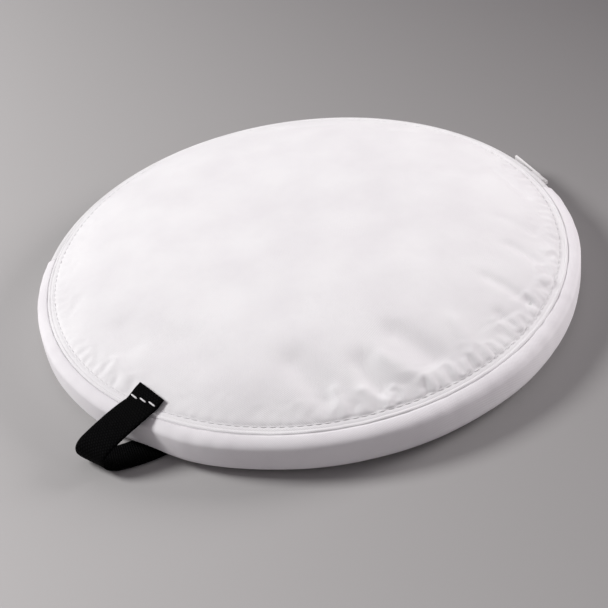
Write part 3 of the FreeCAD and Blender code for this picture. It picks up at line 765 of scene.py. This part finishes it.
# ---------------------------------------------------------------- the zip
def tape_profile(side, seam):
    """A tape's outer profile: from inside the seam it curves out, then runs flat to the coil's line."""
    turn = np.linspace(math.pi / 2, 0, 16)
    sewn_in, coil_line = 2.2 * MM, MIDDLE + side * 0.34 * MM
    reach, start, flat_end = PANEL_EDGE + 0.3 * MM, seam - side * 0.45 * MM, MIDDLE + side * 3.8 * MM
    radius = np.concatenate([[reach - sewn_in], reach + (TAPE_FACE - reach) * np.cos(turn), [TAPE_FACE]])
    height = np.concatenate([[start - side * 0.75 * MM], flat_end + (start - flat_end) * np.sin(turn),
                             [coil_line]])
    return (radius, height) if side > 0 else (radius[::-1], height[::-1])


def build_tapes():
    """The zip's two tapes, which form the rim round the back."""
    for side, node, seam in ((1, "zipper_tape_upper", TOP_SEAM), (-1, "zipper_tape_lower", BOTTOM_SEAM)):
        piece, width = rim_sheet(node + "_cloth", tape_profile(side, seam), ZIP, TAPE_HALF_ANGLE,
                                 columns=420, ripple=0.12)
        thicken(piece, TAPE_CLOTH)
        dress(piece, "tape")
        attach(piece, "pouch")
        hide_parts(node)


def build_coils():
    """Each coil is one nylon filament, wound in flat turns along its tape."""
    pitch, filament, sides, per_turn = 1.5 * MM, 0.25 * MM, 6, 18
    deep, tall, from_middle = 0.35 * MM, 0.5 * MM, 1.1 * MM
    coil_radius = COIL_OUTSIDE - deep - filament
    turns = int(2 * COIL_HALF_ANGLE * coil_radius / pitch)
    phase = np.linspace(0, turns, turns * per_turn + 1)
    azimuth = ZIP - COIL_HALF_ANGLE + 2 * COIL_HALF_ANGLE * phase / turns
    section = around(sides)[None, :, None]
    uv = flat_places(np.arange(sides + 1)[None, :] * 0.2 * MM, phase[:, None] * 4 * MM)
    for side, node in ((1, "zipper_coil_upper"), (-1, "zipper_coil_lower")):
        wind = TURN * phase + (0 if side > 0 else math.pi)
        line = polar(coil_radius + deep * np.cos(wind), azimuth,
                     MIDDLE + side * (from_middle + tall * np.sin(wind)))
        forward = unit(np.gradient(line, axis=0))
        away = polar(np.cos(wind), azimuth, side * np.sin(wind))
        away = unit(away - forward * np.sum(away * forward, axis=1)[:, None])
        aside = np.cross(forward, away)
        points = line[:, None, :] + filament * (np.cos(section) * away[:, None, :]
                                                + np.sin(section) * aside[:, None, :])
        piece = grid_mesh(node + "_filament", points, closed=True, uv=uv)
        cap_ends(piece, sides, len(phase))
        dress(piece, "nylon")
        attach(piece, "pouch")
        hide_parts(node)


# ---------------------------------------------------------------- stitches
def build_stitches():
    """The topstitching of both panels. The top one's skips the end of the webbing."""
    gap, raised, lowered = 0.8 * MM, 0.08 * MM, 0.05 * MM
    every = around(int(TURN * STITCH_RADIUS / STITCH_PITCH))
    skipped = (WEBBING_WIDTH / 2 + gap) / STITCH_RADIUS
    beside_loop = every[np.abs(turned(every, LOOP_AZIMUTH)) > skipped]
    top = top_height(np.full(len(beside_loop), STITCH_RADIUS), beside_loop) + raised
    bottom = bottom_height(np.full(len(every), STITCH_RADIUS), every) - lowered
    for name, node, azimuth, up, facing in (
            ("top_stitches", "top_stitching", beside_loop, top, 1.0),
            ("bottom_stitches", "bottom_stitching", every, bottom, -1.0)):
        along = polar(1.0, azimuth + math.pi / 2, 0.0)
        outward = np.tile([0.0, 0.0, facing], (len(azimuth), 1))
        piece = capsules(name, polar(STITCH_RADIUS, azimuth, up), along, outward, STITCH_LENGTH,
                         THREAD_RADIUS)
        dress(piece, "thread")
        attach(piece, "pouch")
        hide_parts(node)


def build_end_stitches():
    """A short upright row holds each end of the gusset to the tapes."""
    from_end, pitch, length = math.radians(1.2), 3.1 * MM, 2.4 * MM
    centres, along, outward = [], [], []
    for side in (1, -1):
        azimuth = FRONT + side * (GUSSET_HALF_ANGLE - from_end)
        for step in (-1, 0, 1):
            centres.append(polar(RADIUS - 0.02 * MM, azimuth, MIDDLE + step * pitch))
            along.append(np.array([0.0, 0.0, 1.0]))
            outward.append(polar(1.0, azimuth, 0.0))
    piece = capsules("gusset_end_stitches", centres, along, outward, length, THREAD_RADIUS)
    dress(piece, "thread")
    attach(piece, "pouch")
    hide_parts("gusset_end_stitching")


# ---------------------------------------------------------------- the hang loop
# The webbing's middle line, from its end on the top panel over the rim and back under it: how far out from
# the axis, up and sideways, in millimetres. It was chosen to look like the photograph's.
LOOP_ROUTE = [
    (106.4, 23.2, 2.6), (108.2, 22.4, 2.2), (110.4, 21.1, 1.5), (112.4, 20.3, 1.1), (115.2, 20.0, 0.7),
    (119.5, 18.7, -1.0), (125.0, 16.4, -3.4), (131.0, 13.4, -6.0), (135.0, 10.2, -8.0), (136.0, 6.4, -9.0),
    (134.0, 2.9, -9.0), (130.2, 0.95, -6.6), (124.6, 0.68, -1.8), (119.5, 0.64, 1.8), (115.0, 0.62, 4.6),
    (111.2, 0.6, 6.2),
]


def in_loop_plane(out, up, sideways):
    """A point from its distance out along the loop's azimuth, its height and its sideways offset."""
    forward = np.array([math.cos(LOOP_AZIMUTH), math.sin(LOOP_AZIMUTH), 0])
    aside = np.array([-math.sin(LOOP_AZIMUTH), math.cos(LOOP_AZIMUTH), 0])
    return forward * out + aside * sideways + np.array([0, 0, up])


def loop_line(count):
    """A smooth line along the route: evenly spaced points, and how far along it each of them is."""
    curve = bpy.data.curves.new("route", "CURVE")
    curve.dimensions = "3D"
    spline = curve.splines.new("NURBS")
    spline.points.add(len(LOOP_ROUTE) - 1)
    for point, (out, up, aside) in zip(spline.points, LOOP_ROUTE):
        point.co = (*in_loop_plane(out * MM, up * MM, aside * MM), 1)
    spline.order_u = 3
    spline.use_endpoint_u = True
    spline.resolution_u = 14
    holder = bpy.data.objects.new("route", curve)
    line = bpy.data.meshes.new_from_object(holder)
    route = np.array([vertex.co[:] for vertex in line.vertices])
    bpy.data.objects.remove(holder)
    steps = np.concatenate([[0], np.cumsum(np.linalg.norm(np.diff(route, axis=0), axis=1))])
    stations = np.linspace(0, steps[-1], count)
    return np.stack([np.interp(stations, steps, route[:, axis]) for axis in range(3)], axis=1), stations


def build_hang_loop():
    """The webbing: a flat ribbed section with round edges, slightly cupped, carried along the loop's line."""
    route, stations = loop_line(150)
    forward = unit(np.gradient(route, axis=0))
    aside = in_loop_plane(0, 0, 1.0)
    across = unit(aside - forward * (forward @ aside)[:, None])
    outward = np.cross(forward, across)
    edge = np.linspace(-1, 1, 25)
    half = WEBBING_THICKNESS / 2 * np.clip(1 - np.abs(edge) ** 10, 0.0, 1) ** 0.5
    section_across = np.concatenate([edge, edge[::-1][1:-1]]) * WEBBING_WIDTH / 2
    section_out = np.concatenate([half, -half[::-1][1:-1]])
    cup = -0.25 * MM * (section_across / (WEBBING_WIDTH / 2)) ** 2
    ribs = 0.05 * MM * np.sin(stations[:, None] * math.pi / RIB_PITCH) ** 2
    lift = section_out + cup + ribs * np.sign(section_out)
    points = (route[:, None, :] + across[:, None, :] * section_across[None, :, None]
              + outward[:, None, :] * lift[..., None])
    uv = flat_places(np.append(section_across, section_across[0])[None, :], stations[:, None])
    piece = grid_mesh("webbing_loop", points, closed=True, uv=uv)
    cap_ends(piece, points.shape[1], len(stations))
    dress(piece, "webbing")
    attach(piece, "pouch")
    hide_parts("hang_loop")
    build_loop_stitches(route, aside, across, outward)


def build_loop_stitches(route, aside, across, outward):
    """Three stitches over the webbing's upper end, in line with the topstitching."""
    stitched_radius, pitch, length, thread = 110.9 * MM, 4.6 * MM, 3.6 * MM, 0.34 * MM
    at = int(np.argmin(np.abs(np.hypot(route[:, 0], route[:, 1]) - stitched_radius)))
    face = route[at] + outward[at] * (WEBBING_THICKNESS / 2 - 0.02 * MM)
    centres = [face + aside * step * pitch for step in (-1, 0, 1)]
    piece = capsules("loop_stitches", centres, [across[at]] * 3, [outward[at]] * 3, length, thread)
    dress(piece, "thread")
    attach(piece, "pouch")
    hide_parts("hang_loop_stitching")


# ---------------------------------------------------------------- the folded cloths inside
def under_top_panel(radius):
    """How high the cloth under the top panel may reach: lower near the rim, where the panel has its folds."""
    return pillow(radius) - CLOTH - 1.4 * MM - 3.4 * MM * ramp(radius, 56 * MM, 84 * MM)


def build_folded_cloths():
    """The folded panel's two cloths, crumpled flat, which fill the pouch above and below the hoop."""
    columns, steps, inset, crease_spacing = 240, 60, 6 * MM, 6 * MM
    upper_creases, lower_creases = 0.8 * MM, 0.5 * MM
    for node, material, under_top in (
            ("panel_front_cloth", "front", True), ("panel_back_cloth", "back", False)):
        low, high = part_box(node)
        reach = high.x - inset
        radius = reach * (1 - (1 - np.linspace(0.03, 1, steps)) ** 1.5)
        spread, turn = np.meshgrid(radius, around(columns), indexing="ij")
        ceiling = under_top_panel(spread) if under_top else np.full(spread.shape, high.z - 0.6 * MM)
        creases = np.abs(np.sin(spread / crease_spacing + 2 * np.sin(3 * turn) + np.sin(7 * turn)))
        rounding = np.clip(1 - (spread / reach) ** 16, 0, 1) ** 0.5
        middle = (low.z + ceiling.min()) / 2
        top = middle + (ceiling - upper_creases * creases - middle) * rounding
        floor = middle + (low.z + 0.2 * MM + lower_creases * creases - middle) * rounding
        points = np.concatenate([polar(spread, turn, top), polar(spread, turn, floor)[::-1][1:]])
        unrolled = np.append(radius, radius[-1] + (radius[-1] - radius[::-1][1:]))
        piece = grid_mesh(node + "_folds", points, closed=True, uv=flat_disc(unrolled, columns))
        cap_ends(piece, columns, len(points))
        dress(piece, material)
        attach(piece, "pouch")
        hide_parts(node)


# ---------------------------------------------------------------- stage, light and camera
FLOOR_REACH = 12.0
WORLD_COLOUR, WORLD_STRENGTH = (1.02, 0.955, 1.01, 1), 0.225

# Each lamp faces the pouch: its place, its size, its power in watts and its colour
LAMPS = {
    "key": ((-0.97, 0.25, 0.85), 0.45, 15.4, (1.0, 0.995, 0.99)),
    "right_fill": ((0.95, 0.2, 0.42), 0.5, 7.6, (1.0, 0.965, 0.97)),
    "front_fill": ((1.4, -0.85, 0.6), 0.6, 1.9, (1.0, 0.965, 0.97)),
}

# The camera's turn and place, fitted to the photograph's outline and rounded
CAMERA_ELEVATION, CAMERA_ROLL = math.radians(38.08), math.radians(-8.41)
CAMERA_BACK, CAMERA_LEFT, CAMERA_DOWN = 5.035 * RADIUS, 0.015 * RADIUS, 0.0916 * RADIUS
CAMERA_AIM_HEIGHT = 3.5 * MM
LENS_LENGTH, SENSOR_WIDTH = 79.87, 36


def build_stage():
    """A wide flat floor."""
    corners = [(-FLOOR_REACH, -FLOOR_REACH, 0), (FLOOR_REACH, -FLOOR_REACH, 0),
               (FLOOR_REACH, FLOOR_REACH, 0), (-FLOOR_REACH, FLOOR_REACH, 0)]
    mesh = bpy.data.meshes.new("floor")
    mesh.from_pydata(corners, [], [(0, 1, 2, 3)])
    mesh.materials.append(floor_material())
    put_in_scene("floor", mesh)


def build_lights():
    """Soft studio light: an even pale world and three round lamps."""
    world = bpy.data.worlds.new("studio")
    bpy.context.scene.world = world
    world.use_nodes = True
    background = world.node_tree.nodes["Background"]
    background.inputs["Color"].default_value = WORLD_COLOUR
    background.inputs["Strength"].default_value = WORLD_STRENGTH
    for name, (place, size, power, colour) in LAMPS.items():
        data = bpy.data.lights.new(name, "AREA")
        data.shape, data.size, data.energy, data.color = "DISK", size, power, colour
        lamp = put_in_scene(name, data)
        lamp.location = place
        lamp.rotation_euler = (-Vector(place)).to_track_quat("-Z", "Y").to_euler()


def build_camera():
    """The camera stands in front, 38 degrees up, rolled so that the pouch leans to the left."""
    back = Vector((0, -math.cos(CAMERA_ELEVATION), math.sin(CAMERA_ELEVATION)))
    level_right = Vector((1, 0, 0))
    level_up = back.cross(level_right)
    right = math.cos(CAMERA_ROLL) * level_right + math.sin(CAMERA_ROLL) * level_up
    up = math.cos(CAMERA_ROLL) * level_up - math.sin(CAMERA_ROLL) * level_right
    place = CAMERA_BACK * back - CAMERA_LEFT * right - CAMERA_DOWN * up + Vector((0, 0, CAMERA_AIM_HEIGHT))
    data = bpy.data.cameras.new("camera")
    data.lens, data.sensor_width = LENS_LENGTH, SENSOR_WIDTH
    camera = put_in_scene("camera", data)
    camera.matrix_world = Matrix.Translation(place) @ Matrix((right, up, back)).transposed().to_4x4()
    bpy.context.scene.camera = camera


build_camera()
build_stage()
build_lights()
dress_cad_nodes()
build_folded_cloths()
build_top_panel()
build_gusset()
build_bottom_panel()
build_tapes()
build_coils()
build_stitches()
build_end_stitches()
build_hang_loop()
bpy.context.scene.view_settings.view_transform = "Standard"
